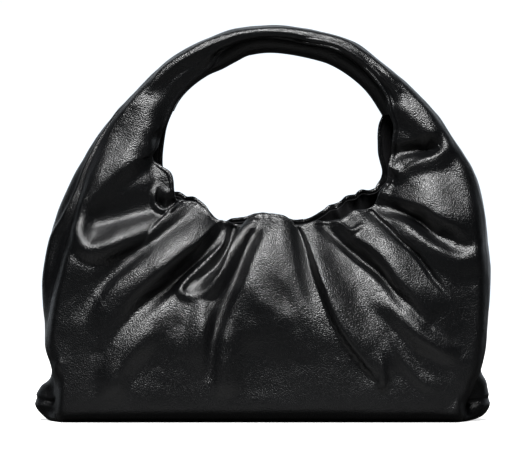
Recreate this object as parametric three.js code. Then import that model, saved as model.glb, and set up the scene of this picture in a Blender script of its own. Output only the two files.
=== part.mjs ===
// Shoulder bag of soft black leather: a wide gathered pouch whose two shoulders run up into
// a hollow arched handle. Millimetres, +Z up, front towards -Y, resting on its flat base.
import * as THREE from 'three';

// Driving dimensions
const BAG_WIDTH = 430; // over the two corner folds
const BAG_HEIGHT = 372; // floor to the top of the handle
const BASE_DEPTH = 116; // front to back across the belly of the pouch
const BASE_EDGE = 14; // radius with which front and back turn under the base
const RIM_HEIGHT = 193; // floor to the mouth's rim, in the middle
const MOUTH_DEPTH = 34; // front rim to back rim
const LOOP_WIDTH = 207; // inside width of the arm loop
const HANDLE_HEIGHT = 25.5; // thickness of the handle at its top
const LOOP_SHIFT = 8.5; // the loop's middle stands this far to the right of the bag's
const HANDLE_DEPTH = 40; // front to back across the handle
const HANDLE_EDGE = 8; // radius with which the handle's sides turn over to its top
const RIM_ROLL = 4; // radius of the turned edge round the loop
const LEATHER = 2; // wall thickness of the hides
const FACING = 1.6; // thickness of the facing inside the mouth
const FACING_DROP = 24; // how far the facing reaches down inside
const SEAM_GAP = 0.4; // clearance between neighbouring hides at a seam
const ROOT_GAP = 0.7; // clearance between the pouch and the handle at its roots
const FOLD_RELIEF = 14; // height of the deepest fold above the unfolded hide

// Stations run round the arm loop in degrees: 0 straight down, 90 right, 180 top, -90 left
const HANDLE_ROOT_LEFT = -124;
const HANDLE_ROOT_RIGHT = 118;
const PINCH_LEFT = -50;
const PINCH_RIGHT = 50;
const BASE_LEFT = -37;
const BASE_RIGHT = 36;
const FULL_TURN = 360;
const LOOP_TOP = BAG_HEIGHT - HANDLE_HEIGHT; // floor to the underside of the handle

// Steps of the grids that the hides are worked out on
const POUCH_STEP = 5;
const HANDLE_STEP = 4.6;
const ROLL_STEPS = 2;
const EDGE_STEPS = 3;
const FRONT_WALL_STEPS = 11;
const BACK_WALL_STEPS = 4;
const HANDLE_WALL_STEPS = 3;
const BAND_STEPS = 4;
const FACING_STEPS = 2;
const INNER_BAND_STEPS = 6;

const table = (columns, rows) =>
  rows.map((row) => Object.fromEntries(columns.map((name, index) => [name, row[index]])));

// Outer outline. seam: where front and side hides meet, edge: the silhouette half way to the back.
// x in shares of half the bag's width from the middle, z in shares of the bag's height.
const OUTLINE = table(['at', 'seamX', 'seamZ', 'edgeX', 'edgeZ'], [
  [-170, -0.10, 0.990, -0.10, 0.993],
  [-150, -0.375, 0.924, -0.378, 0.928],
  [-130, -0.56, 0.825, -0.57, 0.829],
  [-120, -0.64, 0.772, -0.657, 0.772],
  [-108, -0.71, 0.700, -0.75, 0.700],
  [-94, -0.78, 0.600, -0.843, 0.601],
  [-79, -0.835, 0.480, -0.925, 0.477],
  [-66, -0.90, 0.335, -0.956, 0.335],
  [-56, -0.94, 0.190, -0.956, 0.195],
  [-50, -0.918, 0.135, -0.936, 0.135],
  [-46, -0.896, 0.085, -0.982, 0.088],
  [-41.5, -0.893, 0.038, -1.0, 0.043],
  [-38.8, -0.887, 0.012, -0.965, 0.010],
  [-37, -0.865, 0, -0.93, 0],
  [0, 0.02, 0, 0.02, 0],
  [36, 0.838, 0, 0.90, 0],
  [38.2, 0.862, 0.012, 0.962, 0.011],
  [41, 0.868, 0.038, 1.0, 0.044],
  [45, 0.902, 0.084, 0.985, 0.090],
  [50, 0.942, 0.138, 0.956, 0.140],
  [55, 0.962, 0.200, 0.978, 0.202],
  [62, 0.977, 0.350, 0.996, 0.350],
  [73, 0.963, 0.485, 0.976, 0.487],
  [86, 0.925, 0.598, 0.940, 0.602],
  [102, 0.827, 0.706, 0.837, 0.710],
  [120, 0.722, 0.790, 0.732, 0.793],
  [140, 0.565, 0.883, 0.570, 0.886],
  [160, 0.328, 0.970, 0.331, 0.974],
  [180, 0.04, 0.996, 0.04, 1.0],
]);

// Front edge of the loop: the gathered rim of the mouth and the handle's underside.
// x in shares of half the loop's width from its middle, z: 0 at the rim's height, 1 at the loop's top.
const FRONT_RIM = table(['at', 'x', 'z'], [
  [-170, -0.20, 0.985],
  [-163, -0.34, 0.94],
  [-157, -0.45, 0.90],
  [-150, -0.58, 0.862],
  [-130, -0.845, 0.706],
  [-116, -0.95, 0.55],
  [-108, -1.025, 0.43],
  [-102, -1.09, 0.355],
  [-95, -1.0, 0.29],
  [-88, -0.92, 0.233],
  [-80, -0.908, 0.147],
  [-72, -0.835, 0.087],
  [-58, -0.70, 0.082],
  [-47, -0.60, 0.035],
  [-36, -0.473, -0.045],
  [-26, -0.35, -0.050],
  [-19, -0.264, -0.062],
  [-12, -0.18, -0.008],
  [0, -0.055, -0.002],
  [10, 0.075, -0.025],
  [20, 0.236, -0.085],
  [31, 0.455, -0.040],
  [38, 0.60, -0.042],
  [46, 0.736, 0.015],
  [56, 0.89, 0.044],
  [68, 0.975, 0.135],
  [80, 1.06, 0.21],
  [92, 1.072, 0.32],
  [108, 1.10, 0.50],
  [120, 0.99, 0.632],
  [140, 0.827, 0.785],
  [160, 0.455, 0.945],
  [180, -0.018, 1],
]);

// Back edge of the loop, in the same shares: it stands a little higher beside the middle
const BACK_RIM = table(['at', 'x', 'z'], [
  [-170, -0.20, 0.995],
  [-150, -0.58, 0.877],
  [-130, -0.845, 0.706],
  [-112, -0.97, 0.515],
  [-96, -1.0, 0.33],
  [-84, -0.955, 0.18],
  [-68, -0.79, 0.12],
  [-52, -0.645, 0.07],
  [-36, -0.49, -0.025],
  [-20, -0.265, -0.025],
  [0, -0.055, 0.010],
  [24, 0.285, -0.040],
  [41, 0.527, 0.060],
  [56, 0.77, 0.125],
  [70, 0.955, 0.172],
  [82, 1.02, 0.25],
  [98, 0.972, 0.405],
  [112, 0.968, 0.56],
  [120, 0.99, 0.632],
  [140, 0.827, 0.785],
  [160, 0.455, 0.945],
  [180, -0.018, 1],
]);

// How far the handle's turned edge stands back from its underside, as a share of the way to the
// outer seam. Between the two shows the strip that closes the handle.
const TURNED_EDGE = table(['at', 'front', 'back'], [
  [-175, 0.55, 0.15],
  [-163, 0.45, 0.15],
  [-152, 0.12, 0.10],
  [-140, 0.05, 0.05],
  [-100, 0, 0],
  [105, 0, 0],
  [118, 0.14, 0.05],
  [130, 0.32, 0.12],
  [150, 0.45, 0.15],
  [160, 0.52, 0.15],
  [170, 0.46, 0.15],
]);

// Depth of each station. pouch: 1 where the hide bellies as deep as the base, 0 on the handle.
// seam: depth of the front seam as a share of the belly, fullest: where down the hide it bellies most.
const DEPTHS = table(['at', 'pouch', 'seam', 'fullest'], [
  [-180, 0, 0.45, 0.55],
  [-124, 0.04, 0.50, 0.55],
  [-100, 0.20, 0.60, 0.60],
  [-75, 0.52, 0.64, 0.64],
  [-50, 0.86, 0.62, 0.66],
  [-37, 1, 0.72, 0.66],
  [0, 1, 0.76, 0.66],
  [36, 1, 0.72, 0.66],
  [50, 0.86, 0.62, 0.66],
  [75, 0.52, 0.64, 0.64],
  [97, 0.20, 0.60, 0.60],
  [118, 0.04, 0.50, 0.55],
  [180, 0, 0.45, 0.55],
]);

// Folds of the front hide, each a bent ridge or, where its height is below 0, a valley.
// x and z in shares of half the width and of the height: start, pull and end of the curve.
// left and right: how wide the fold falls off on either side, in shares of the rim's height.
// high: height at start, middle and end, in shares of the fold relief.
const FRONT_FOLDS = table(
  ['x0', 'z0', 'x1', 'z1', 'x2', 'z2', 'left', 'right', 'high0', 'high1', 'high2'], [
  [-0.20, 0.51, -0.48, 0.415, -0.68, 0.20, 0.09, 0.15, 0.5, 1.3, 0.15],
  [-0.34, 0.355, -0.51, 0.252, -0.64, 0.08, 0.09, 0.11, 0.3, 0.8, 0.05],
  [-0.135, 0.49, -0.21, 0.365, -0.305, 0.34, 0.08, 0.08, 0.4, 0.45, 0.3],
  [0.03, 0.50, -0.215, 0.39, -0.20, 0.15, 0.17, 0.08, 0.5, 1.1, 0.2],
  [0.06, 0.50, -0.02, 0.39, 0.02, 0.20, 0.27, 0.20, 0.6, 1.0, 0.1],
  [0.145, 0.50, 0.19, 0.375, 0.52, 0.09, 0.18, 0.06, 0.4, 1.0, 0.1],
  [0.47, 0.335, 0.635, 0.19, 0.82, 0.155, 0.10, 0.08, 0.15, 0.75, 0.1],
  [0.30, 0.50, 0.53, 0.392, 0.76, 0.235, 0.15, 0.07, 0.3, 1.3, 0.15],
  [0.50, 0.56, 0.745, 0.515, 0.93, 0.45, 0.22, 0.09, 0.1, 1.0, 0.3],
  [0.50, 0.51, 0.742, 0.387, 0.935, 0.445, 0.09, 0.09, 0.1, 1.0, 0.3],
  [0.55, 0.89, 0.61, 0.793, 0.75, 0.744, 0.13, 0.13, 0.2, 0.6, 0.4],
  [0.79, 0.735, 0.81, 0.628, 0.55, 0.61, 0.12, 0.08, 0.3, 0.8, 0.15],
  [-0.71, 0.68, -0.867, 0.504, -0.755, 0.432, 0.15, 0.08, 0.2, 0.6, 0.8],
  [-0.755, 0.432, -0.632, 0.419, -0.38, 0.51, 0.15, 0.08, 0.8, 0.9, 0.1],
  [-0.51, 0.86, -0.445, 0.75, -0.76, 0.60, 0.17, 0.13, 0.2, 1.0, 0.2],
  [-0.47, 0.64, -0.41, 0.61, -0.43, 0.575, 0.09, 0.09, 0.3, 0.7, 0.5],
  [-0.75, 0.51, -0.64, 0.535, -0.50, 0.555, 0.17, 0.10, -0.3, -0.9, -0.6],
  [-0.085, 0.475, -0.197, 0.362, -0.24, 0.20, 0.08, 0.08, -0.3, -0.5, -0.1],
  [-0.26, 0.455, -0.425, 0.347, -0.65, 0.17, 0.08, 0.08, -0.1, -0.5, 0],
  [-0.44, 0.475, -0.63, 0.397, -0.78, 0.25, 0.08, 0.09, -0.1, -0.5, 0],
  [0.235, 0.495, 0.447, 0.422, 0.63, 0.30, 0.08, 0.08, -0.1, -0.6, -0.1],
  [0.467, 0.525, 0.631, 0.469, 0.79, 0.325, 0.07, 0.07, -0.15, -0.35, -0.05],
  [0.60, 0.70, 0.69, 0.68, 0.76, 0.70, 0.09, 0.09, -0.3, -0.8, -0.3],
]);

// Gathers of the back hide, fewer and softer
const BACK_FOLDS = table(
  ['x0', 'z0', 'x1', 'z1', 'x2', 'z2', 'left', 'right', 'high0', 'high1', 'high2'], [
  [-0.62, 0.66, -0.72, 0.54, -0.78, 0.36, 0.12, 0.12, 0.4, 0.5, 0.1],
  [-0.30, 0.52, -0.42, 0.40, -0.52, 0.22, 0.12, 0.12, 0.6, 0.6, 0.1],
  [-0.06, 0.49, -0.09, 0.36, -0.12, 0.20, 0.12, 0.12, 0.6, 0.5, 0.1],
  [0.20, 0.48, 0.24, 0.36, 0.30, 0.20, 0.12, 0.12, 0.6, 0.5, 0.1],
  [0.44, 0.52, 0.54, 0.40, 0.62, 0.24, 0.12, 0.12, 0.6, 0.6, 0.1],
  [0.64, 0.62, 0.76, 0.52, 0.84, 0.34, 0.12, 0.12, 0.4, 0.5, 0.1],
]);

const LEATHER_BLACK = { color: 0x131315, roughness: 0.42, metalness: 0 };
const INNER_BLACK = { color: 0x0f0f11, roughness: 0.6, metalness: 0 };

const clamp = THREE.MathUtils.clamp;
const mix = THREE.MathUtils.lerp;
const rise = (k) => THREE.MathUtils.smoothstep(k, 0, 1);

// Value of a table's column at a station: a monotone cubic through the rows, which never
// overshoots them, so a level stretch stays level. The tables close on themselves after one turn.
function roundTable(rows, column) {
  const last = rows[rows.length - 1];
  const knots = rows.map((row) => [row.at, row[column]]);
  const wrap = 2;
  const turned = (some, turn) => some.map(([at, value]) => [at + turn, value]);
  const before = turned(knots.slice(-wrap - 1), -FULL_TURN).filter(([at]) => at < rows[0].at);
  const after = turned(knots.slice(0, wrap + 1), FULL_TURN).filter(([at]) => at > last.at);
  knots.unshift(...before);
  knots.push(...after);
  const steps = knots.slice(1).map((knot, i) => (knot[1] - knots[i][1]) / (knot[0] - knots[i][0]));
  const slopes = knots.map((knot, i) => {
    if (i === 0 || i === knots.length - 1) return 0;
    const [stepIn, stepOut] = [steps[i - 1], steps[i]];
    if (stepIn * stepOut <= 0) return 0;
    const spanIn = knot[0] - knots[i - 1][0];
    const spanOut = knots[i + 1][0] - knot[0];
    return 3 * (spanIn + spanOut) / ((2 * spanOut + spanIn) / stepIn + (spanOut + 2 * spanIn) / stepOut);
  });
  return (station) => {
    let at = station;
    while (at > knots[knots.length - 1][0]) at -= FULL_TURN;
    while (at < knots[0][0]) at += FULL_TURN;
    let i = 0;
    while (i < knots.length - 2 && knots[i + 1][0] < at) i += 1;
    const span = knots[i + 1][0] - knots[i][0];
    const k = (at - knots[i][0]) / span;
    const square = k * k;
    const cube = square * k;
    return knots[i][1] * (2 * cube - 3 * square + 1) + slopes[i] * span * (cube - 2 * square + k)
      + knots[i + 1][1] * (3 * square - 2 * cube) + slopes[i + 1] * span * (cube - square);
  };
}

const columnsOf = (rows, names) =>
  Object.fromEntries(names.map((name) => [name, roundTable(rows, name)]));

const outline = columnsOf(OUTLINE, ['seamX', 'seamZ', 'edgeX', 'edgeZ']);
const frontRim = columnsOf(FRONT_RIM, ['x', 'z']);
const backRim = columnsOf(BACK_RIM, ['x', 'z']);
const turnedEdge = columnsOf(TURNED_EDGE, ['front', 'back']);
const depths = columnsOf(DEPTHS, ['pouch', 'seam', 'fullest']);

const outlinePoint = (at, x, z) =>
  new THREE.Vector2(outline[x](at) * BAG_WIDTH / 2, outline[z](at) * BAG_HEIGHT);
const loopPoint = (rim, at) =>
  new THREE.Vector2(LOOP_SHIFT + rim.x(at) * LOOP_WIDTH / 2, mix(RIM_HEIGHT, LOOP_TOP, rim.z(at)));

// Where a hide ends round the loop: at its rim, or on the handle at its turned edge
function rimPoint(front, at) {
  const rim = loopPoint(front ? frontRim : backRim, at);
  return rim.lerp(outlinePoint(at, 'seamX', 'seamZ'), turnedEdge[front ? 'front' : 'back'](at));
}

// How much a station belongs to the handle: 0 on the mouth, 1 past the handle's roots
function handleShare(at) {
  const turn = ((at % FULL_TURN) + FULL_TURN) % FULL_TURN;
  const fromTop = turn - FULL_TURN / 2;
  const root = fromTop > 0 ? FULL_TURN / 2 + HANDLE_ROOT_LEFT : FULL_TURN / 2 - HANDLE_ROOT_RIGHT;
  const BLEND = 14;
  return 1 - rise((Math.abs(fromTop) - root) / BLEND);
}

// One station's half section, seen from above the middle plane: how far down the hide (0 rim,
// 1 seam) and how far out from the middle plane. 'down' has three zones: the rolled edge at the
// rim, the wall, and the edge turned in to the seam. Both edges are quarter ellipses.
const RIM_DEPTH = (MOUTH_DEPTH - RIM_ROLL) / 2;
const ROLL_END = 0.08;
const EDGE_START = 0.86;
function halfSection(at, rim, seam, down) {
  const length = rim.distanceTo(seam);
  const handle = handleShare(at);
  const belly = mix(HANDLE_DEPTH / 2, BASE_DEPTH / 2, depths.pouch(at));
  const seamDepth = mix(belly * depths.seam(at), belly - BASE_EDGE, seamLevel(at));
  const edge = Math.min(mix(BASE_EDGE, HANDLE_EDGE, handle), length / 2);
  const roll = Math.min(RIM_ROLL, length / 4);
  const quarter = Math.PI / 2;
  if (down < ROLL_END) {
    const turn = quarter * down / ROLL_END;
    return { share: roll * (1 - Math.cos(turn)) / length, depth: RIM_DEPTH + roll / 2 * Math.sin(turn) };
  }
  if (down > EDGE_START) {
    const turn = quarter * (down - EDGE_START) / (1 - EDGE_START);
    return {
      share: 1 - edge * (1 - Math.sin(turn)) / length,
      depth: seamDepth + (belly - seamDepth) * Math.cos(turn),
    };
  }
  const k = (down - ROLL_END) / (EDGE_START - ROLL_END);
  const share = mix(roll / length, 1 - edge / length, k);
  const fullness = Math.sin(quarter * Math.min(1, k / depths.fullest(at)));
  return { share, depth: mix(RIM_DEPTH + roll / 2, belly, fullness) };
}

// 1 where the seam lies on the floor, so that the turned edge ends level there
function seamLevel(at) {
  return rise((at - BASE_LEFT + 2) / 2) * rise((BASE_RIGHT + 2 - at) / 2);
}

// The unfolded skin. across: 0 front rim, 1 front seam, 2 silhouette, 3 back seam, 4 back rim.
function skin(at, across) {
  const fromFront = across <= 2;
  const side = fromFront ? -1 : 1;
  const down = fromFront ? across : 4 - across;
  const rim = rimPoint(fromFront, at);
  const seam = outlinePoint(at, 'seamX', 'seamZ');
  if (down <= 1) {
    const { share, depth } = halfSection(at, rim, seam, Math.max(0, down));
    const place = rim.clone().lerp(seam, share);
    return new THREE.Vector3(place.x, side * depth, place.y);
  }
  const edge = outlinePoint(at, 'edgeX', 'edgeZ');
  const { depth } = halfSection(at, rim, seam, 1);
  const reach = 2 - down;
  const place = seam.clone().lerp(edge, 1 - reach * reach);
  return new THREE.Vector3(place.x, side * depth * reach, place.y);
}

// Outward normal of the unfolded skin, from a small step either way; across a seam it is the
// mean of both hides, so that neighbouring walls end on one mitre
function skinNormal(at, across) {
  const STEP_AT = 0.6;
  const STEP_ACROSS = 0.012;
  const round = skin(at + STEP_AT, across).sub(skin(at - STEP_AT, across));
  const low = clamp(across - STEP_ACROSS, 0, 4);
  const high = clamp(across + STEP_ACROSS, 0, 4);
  return skin(at, high).sub(skin(at, low)).cross(round).normalize();
}

// Height of the folds over a point of the front view: each fold is a bump as wide as its row
// says on either side of a quadratic curve, with a cosine fall-off
const CURVE_STEPS = 10;
function foldCurve(fold) {
  const scale = new THREE.Vector2(BAG_WIDTH / 2, BAG_HEIGHT);
  const [start, pull, end] = [[fold.x0, fold.z0], [fold.x1, fold.z1], [fold.x2, fold.z2]]
    .map(([x, z]) => new THREE.Vector2(x, z).multiply(scale));
  return new THREE.QuadraticBezierCurve(start, pull, end).getPoints(CURVE_STEPS);
}

function foldHeight(fold, points, place) {
  let best = { distance: Infinity };
  for (let i = 0; i < CURVE_STEPS; i += 1) {
    const step = points[i + 1].clone().sub(points[i]);
    const offset = place.clone().sub(points[i]);
    const k = clamp(offset.dot(step) / step.lengthSq(), 0, 1);
    const distance = offset.distanceTo(step.clone().multiplyScalar(k));
    if (distance < best.distance) {
      best = { distance, at: (i + k) / CURVE_STEPS, turn: step.cross(offset) };
    }
  }
  const width = RIM_HEIGHT * (best.turn > 0 ? fold.left : fold.right);
  if (best.distance >= width) return 0;
  const k = best.at;
  const high = (1 - k) * (1 - k) * fold.high0 + 2 * k * (1 - k) * fold.high1 + k * k * fold.high2;
  return FOLD_RELIEF * high * (1 + Math.cos(Math.PI * best.distance / width)) / 2;
}

const frontCurves = FRONT_FOLDS.map((fold) => ({ fold, points: foldCurve(fold) }));
const backCurves = BACK_FOLDS.map((fold) => ({ fold, points: foldCurve(fold) }));

// Height of all folds over the skin: the ridges' cubic mean, so that where two meet the higher one
// wins, less the valleys. They die out towards the outer seams and the handle's roots.
const FOLD_FADE = 0.16;
const ROOT_FADE = 12;
function foldLift(at, across) {
  const front = across < 2;
  const down = front ? across : 4 - across;
  if (down >= 1 || at < HANDLE_ROOT_LEFT || at > HANDLE_ROOT_RIGHT) return 0;
  const point = skin(at, across);
  const place = new THREE.Vector2(point.x, point.z);
  const heights = (front ? frontCurves : backCurves)
    .map(({ fold, points }) => foldHeight(fold, points, place));
  const ridges = heights.reduce((total, height) => total + Math.max(0, height) ** 3, 0);
  const valleys = heights.reduce((total, height) => total + Math.min(0, height), 0);
  const fade = rise((1 - down) / FOLD_FADE) * rise((at - HANDLE_ROOT_LEFT) / ROOT_FADE)
    * rise((HANDLE_ROOT_RIGHT - at) / ROOT_FADE);
  return (Math.cbrt(ridges) + valleys) * fade;
}

// A point of a hide: the skin, moved out by its folds and in by 'inset' through the wall. The
// folds stand square to the wall, so the rolled rim moves with them as it is, and the inset
// follows the normal of the row, so that hides end on the same mitre at a seam.
function hidePoint(at, across, row, inset) {
  const wallAcross = row < 2 ? Math.max(across, ROLL_END) : Math.min(across, 4 - ROLL_END);
  return skin(at, across)
    .addScaledVector(skinNormal(at, wallAcross), foldLift(at, across))
    .addScaledVector(skinNormal(at, row), -inset);
}

// Stations of a stretch: its two ends, each outline row between them, and even steps between rows
function stations(start, end, step) {
  const rows = OUTLINE.flatMap(({ at }) => [at, at + FULL_TURN]);
  const marks = [start, ...rows.filter((at) => at > start && at < end).sort((a, b) => a - b), end];
  return marks.slice(1).flatMap((mark, i) => {
    const pieces = Math.max(1, Math.round((mark - marks[i]) / step));
    return Array.from({ length: pieces }, (_, k) => mix(marks[i], mark, k / pieces));
  }).concat(end);
}

const evenly = (from, to, pieces) =>
  Array.from({ length: pieces + 1 }, (_, k) => mix(from, to, k / pieces));

const middleLength = rimPoint(true, 0).distanceTo(outlinePoint(0, 'seamX', 'seamZ'));
const FACING_END = ROLL_END + FACING_DROP / middleLength;
const rollRows = evenly(0, ROLL_END, ROLL_STEPS);
const facingRows = evenly(ROLL_END, FACING_END, FACING_STEPS);
const edgeRows = evenly(EDGE_START, 1, EDGE_STEPS);
const wallRows = (steps) => [...facingRows.slice(1), ...evenly(FACING_END, EDGE_START, steps).slice(1, -1)];
const frontRows = [...rollRows, ...wallRows(FRONT_WALL_STEPS), ...edgeRows];
const backRows = [...rollRows, ...wallRows(BACK_WALL_STEPS), ...edgeRows].map((row) => 4 - row).reverse();
const bandRows = evenly(1, 3, BAND_STEPS);

// A closed wall between two grids of points, an outer and an inner one, joined round its edge.
// Rows run across the piece and columns along it. Every strip of the edge is split along the
// diagonal from its lower inner corner, so that two walls meeting at a seam have the same mitre.
function wallGeometry(outer, inner) {
  const rows = outer.length;
  const columns = outer[0].length;
  const positions = [...outer.flat(), ...inner.flat()].flatMap((point) => point.toArray());
  const outerAt = (row, column) => row * columns + column;
  const innerAt = (row, column) => (rows + row) * columns + column;
  const triangles = [];
  const quad = (a, b, c, d) => triangles.push(a, b, c, a, c, d);
  for (let row = 0; row < rows - 1; row += 1) {
    for (let column = 0; column < columns - 1; column += 1) {
      quad(outerAt(row, column), outerAt(row + 1, column), outerAt(row + 1, column + 1),
        outerAt(row, column + 1));
      quad(innerAt(row, column), innerAt(row, column + 1), innerAt(row + 1, column + 1),
        innerAt(row + 1, column));
    }
  }
  for (let column = 0; column < columns - 1; column += 1) {
    quad(innerAt(0, column), outerAt(0, column), outerAt(0, column + 1), innerAt(0, column + 1));
    quad(innerAt(rows - 1, column), innerAt(rows - 1, column + 1), outerAt(rows - 1, column + 1),
      outerAt(rows - 1, column));
  }
  for (let row = 0; row < rows - 1; row += 1) {
    quad(innerAt(row, 0), innerAt(row + 1, 0), outerAt(row + 1, 0), outerAt(row, 0));
    quad(innerAt(row, columns - 1), outerAt(row, columns - 1), outerAt(row + 1, columns - 1),
      innerAt(row + 1, columns - 1));
  }
  const geometry = new THREE.BufferGeometry();
  geometry.setAttribute('position', new THREE.Float32BufferAttribute(positions, 3));
  geometry.setIndex(triangles);
  geometry.computeVertexNormals();
  return geometry;
}

// Clearance at the end of a piece: wider at the handle's roots, where the whole section meets
const endGap = (at) =>
  (at <= HANDLE_ROOT_LEFT || at >= HANDLE_ROOT_RIGHT ? ROOT_GAP : SEAM_GAP);

const material = (look) => new THREE.MeshStandardMaterial({ ...look, side: THREE.FrontSide });

// A hide over a patch of the skin. Each edge named in 'cut' is drawn back by half the seam gap.
function hide(name, columns, rows, { outset = 0, wall = LEATHER, look = LEATHER_BLACK } = {}) {
  const start = columns[0];
  const end = columns[columns.length - 1];
  const low = rows[0];
  const high = rows[rows.length - 1];
  const PROBE = 0.01;
  const pace = (at, across) => skin(at + PROBE, across).distanceTo(skin(at - PROBE, across)) / (2 * PROBE);
  const grid = (inset) => rows.map((row) => columns.map((column) => {
    const half = endGap(column) / 2 / pace(column, row);
    const at = column + (column === start ? half : 0) - (column === end ? half : 0);
    const onSeam = (across) => across === 1 || across === 3;
    const stretch = (across, way) => {
      const probe = across + way * PROBE;
      return way * SEAM_GAP / 2 * PROBE / skin(at, probe).distanceTo(skin(at, across));
    };
    const across = row
      + (row === low && onSeam(row) ? stretch(row, 1) : 0)
      + (row === high && onSeam(row) ? stretch(row, -1) : 0);
    return hidePoint(at, across, row, inset);
  }));
  const mesh = new THREE.Mesh(wallGeometry(grid(outset), grid(outset + wall)), material(look));
  mesh.name = name;
  return mesh;
}

const pouch = stations(HANDLE_ROOT_LEFT, HANDLE_ROOT_RIGHT, POUCH_STEP);
const between = (from, to) => [...new Set([from, ...pouch.filter((at) => at > from && at < to), to])];
const handleColumns = stations(HANDLE_ROOT_RIGHT, HANDLE_ROOT_LEFT + FULL_TURN, HANDLE_STEP);

// The pouch: front, back, sides, tucked corners and base
function pouchPieces() {
  return [
    hide('front_panel', pouch, frontRows),
    hide('back_panel', pouch, backRows),
    hide('gusset_left', between(HANDLE_ROOT_LEFT, PINCH_LEFT), bandRows),
    hide('gusset_right', between(PINCH_RIGHT, HANDLE_ROOT_RIGHT), bandRows),
    hide('corner_fold_left', between(PINCH_LEFT, BASE_LEFT), bandRows),
    hide('corner_fold_right', between(BASE_RIGHT, PINCH_RIGHT), bandRows),
    hide('base_panel', between(BASE_LEFT, BASE_RIGHT), bandRows),
  ];
}

// Facing inside the mouth: a strip behind the rolled rim, following the folds of its hide
function facing(name, front) {
  const rows = front ? facingRows : facingRows.map((row) => 4 - row).reverse();
  return hide(name, pouch, rows, { outset: LEATHER + SEAM_GAP, wall: FACING, look: INNER_BLACK });
}

// The handle: a channel of leather open below, closed by a strip along its underside
function handlePieces() {
  const walls = evenly(ROLL_END, EDGE_START, HANDLE_WALL_STEPS).slice(1, -1);
  const half = [...rollRows, ...walls, ...edgeRows];
  const rows = [...half, ...bandRows.slice(1, -1), ...half.map((row) => 4 - row).reverse()];
  return [hide('handle', handleColumns, rows), innerBand('handle_inner_band')];
}

// The strip is a gutter: half an ellipse from the front edge, round the underside, to the back edge
function innerBand(name) {
  const [start, end] = [handleColumns[0], handleColumns[handleColumns.length - 1]];
  const depth = RIM_DEPTH - SEAM_GAP;
  const grid = (inset) => evenly(1, -1, INNER_BAND_STEPS).map((turn) => handleColumns.map((column) => {
    const half = ROOT_GAP / 2 / skin(column + 1, 0).distanceTo(skin(column, 0));
    const at = column + (column === start ? half : 0) - (column === end ? half : 0);
    const angle = turn * Math.PI / 2;
    const underside = loopPoint(frontRim, at);
    const outward = outlinePoint(at, 'seamX', 'seamZ').sub(underside).normalize();
    const edge = rimPoint(turn < 0, at);
    const place = underside.lerp(edge, 1 - Math.cos(angle)).addScaledVector(outward, inset * Math.cos(angle));
    return new THREE.Vector3(place.x, (depth - inset) * Math.sin(angle), place.y);
  }));
  const mesh = new THREE.Mesh(wallGeometry(grid(0), grid(LEATHER)), material(LEATHER_BLACK));
  mesh.name = name;
  return mesh;
}

const bag = new THREE.Group();
bag.add(...pouchPieces());
bag.add(facing('mouth_facing_front', true), facing('mouth_facing_back', false));
bag.add(...handlePieces());

// The folds push the outline a little to the front, so the whole is centred over its base
const box = new THREE.Box3().setFromObject(bag);
bag.position.set(-(box.min.x + box.max.x) / 2, -(box.min.y + box.max.y) / 2, -box.min.z);

export default bag;
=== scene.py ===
"""Shoulder bag of soft black leather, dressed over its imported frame.

The bag is a wide gathered pouch whose two shoulders run up into a hollow arched handle. All its
hides are patches of one skin, worked out as whole arrays on a grid of stations round the arm loop
and rows from the rim down to the seam. Folds are raised from that skin, and each patch gets its
wall of leather, so every piece is one closed mesh.
"""
import math

import bpy
import numpy as np
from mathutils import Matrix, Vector


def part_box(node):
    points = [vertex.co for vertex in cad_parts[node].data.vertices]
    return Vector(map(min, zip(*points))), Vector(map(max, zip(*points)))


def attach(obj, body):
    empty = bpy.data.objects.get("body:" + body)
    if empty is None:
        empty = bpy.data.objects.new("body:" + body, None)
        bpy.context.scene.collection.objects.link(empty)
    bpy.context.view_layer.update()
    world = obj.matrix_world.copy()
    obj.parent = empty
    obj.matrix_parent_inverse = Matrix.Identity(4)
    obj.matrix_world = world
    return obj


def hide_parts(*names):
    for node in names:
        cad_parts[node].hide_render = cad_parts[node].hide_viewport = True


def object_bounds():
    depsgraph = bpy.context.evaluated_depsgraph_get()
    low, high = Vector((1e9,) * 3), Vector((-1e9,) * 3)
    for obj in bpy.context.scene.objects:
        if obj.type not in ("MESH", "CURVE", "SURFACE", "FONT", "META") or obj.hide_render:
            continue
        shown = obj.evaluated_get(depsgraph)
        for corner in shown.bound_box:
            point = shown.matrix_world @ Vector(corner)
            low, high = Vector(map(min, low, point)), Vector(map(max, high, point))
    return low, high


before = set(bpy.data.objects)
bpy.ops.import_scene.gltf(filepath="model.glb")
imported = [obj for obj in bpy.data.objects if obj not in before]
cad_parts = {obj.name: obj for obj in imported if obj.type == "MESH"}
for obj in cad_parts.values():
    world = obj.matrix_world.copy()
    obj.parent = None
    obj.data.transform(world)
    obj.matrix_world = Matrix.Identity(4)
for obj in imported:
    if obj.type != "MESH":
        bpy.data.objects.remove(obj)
cad_box = [list(corner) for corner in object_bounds()]

# Driving dimensions, in metres: the frame gives the overall ones
BAG_WIDTH = cad_box[1][0] - cad_box[0][0]
BAG_HEIGHT = cad_box[1][2]
BASE_DEPTH = 0.116
BASE_EDGE = 0.014
RIM_HEIGHT = 0.193
MOUTH_DEPTH = 0.034
LOOP_WIDTH = 0.207
HANDLE_HEIGHT = 0.0255
LOOP_SHIFT = 0.0085
HANDLE_DEPTH = 0.040
HANDLE_EDGE = 0.008
RIM_ROLL = 0.004
LEATHER = 0.002
FACING = 0.0016
FACING_DROP = 0.024
FACING_CLEARANCE = 0.0004
SEAM_GAP = 0.0002
FOLD_RELIEF = 0.014
SEAM_LIP = 0.0009
LOOP_TOP = BAG_HEIGHT - HANDLE_HEIGHT
RIM_DEPTH = (MOUTH_DEPTH - RIM_ROLL) / 2

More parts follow.
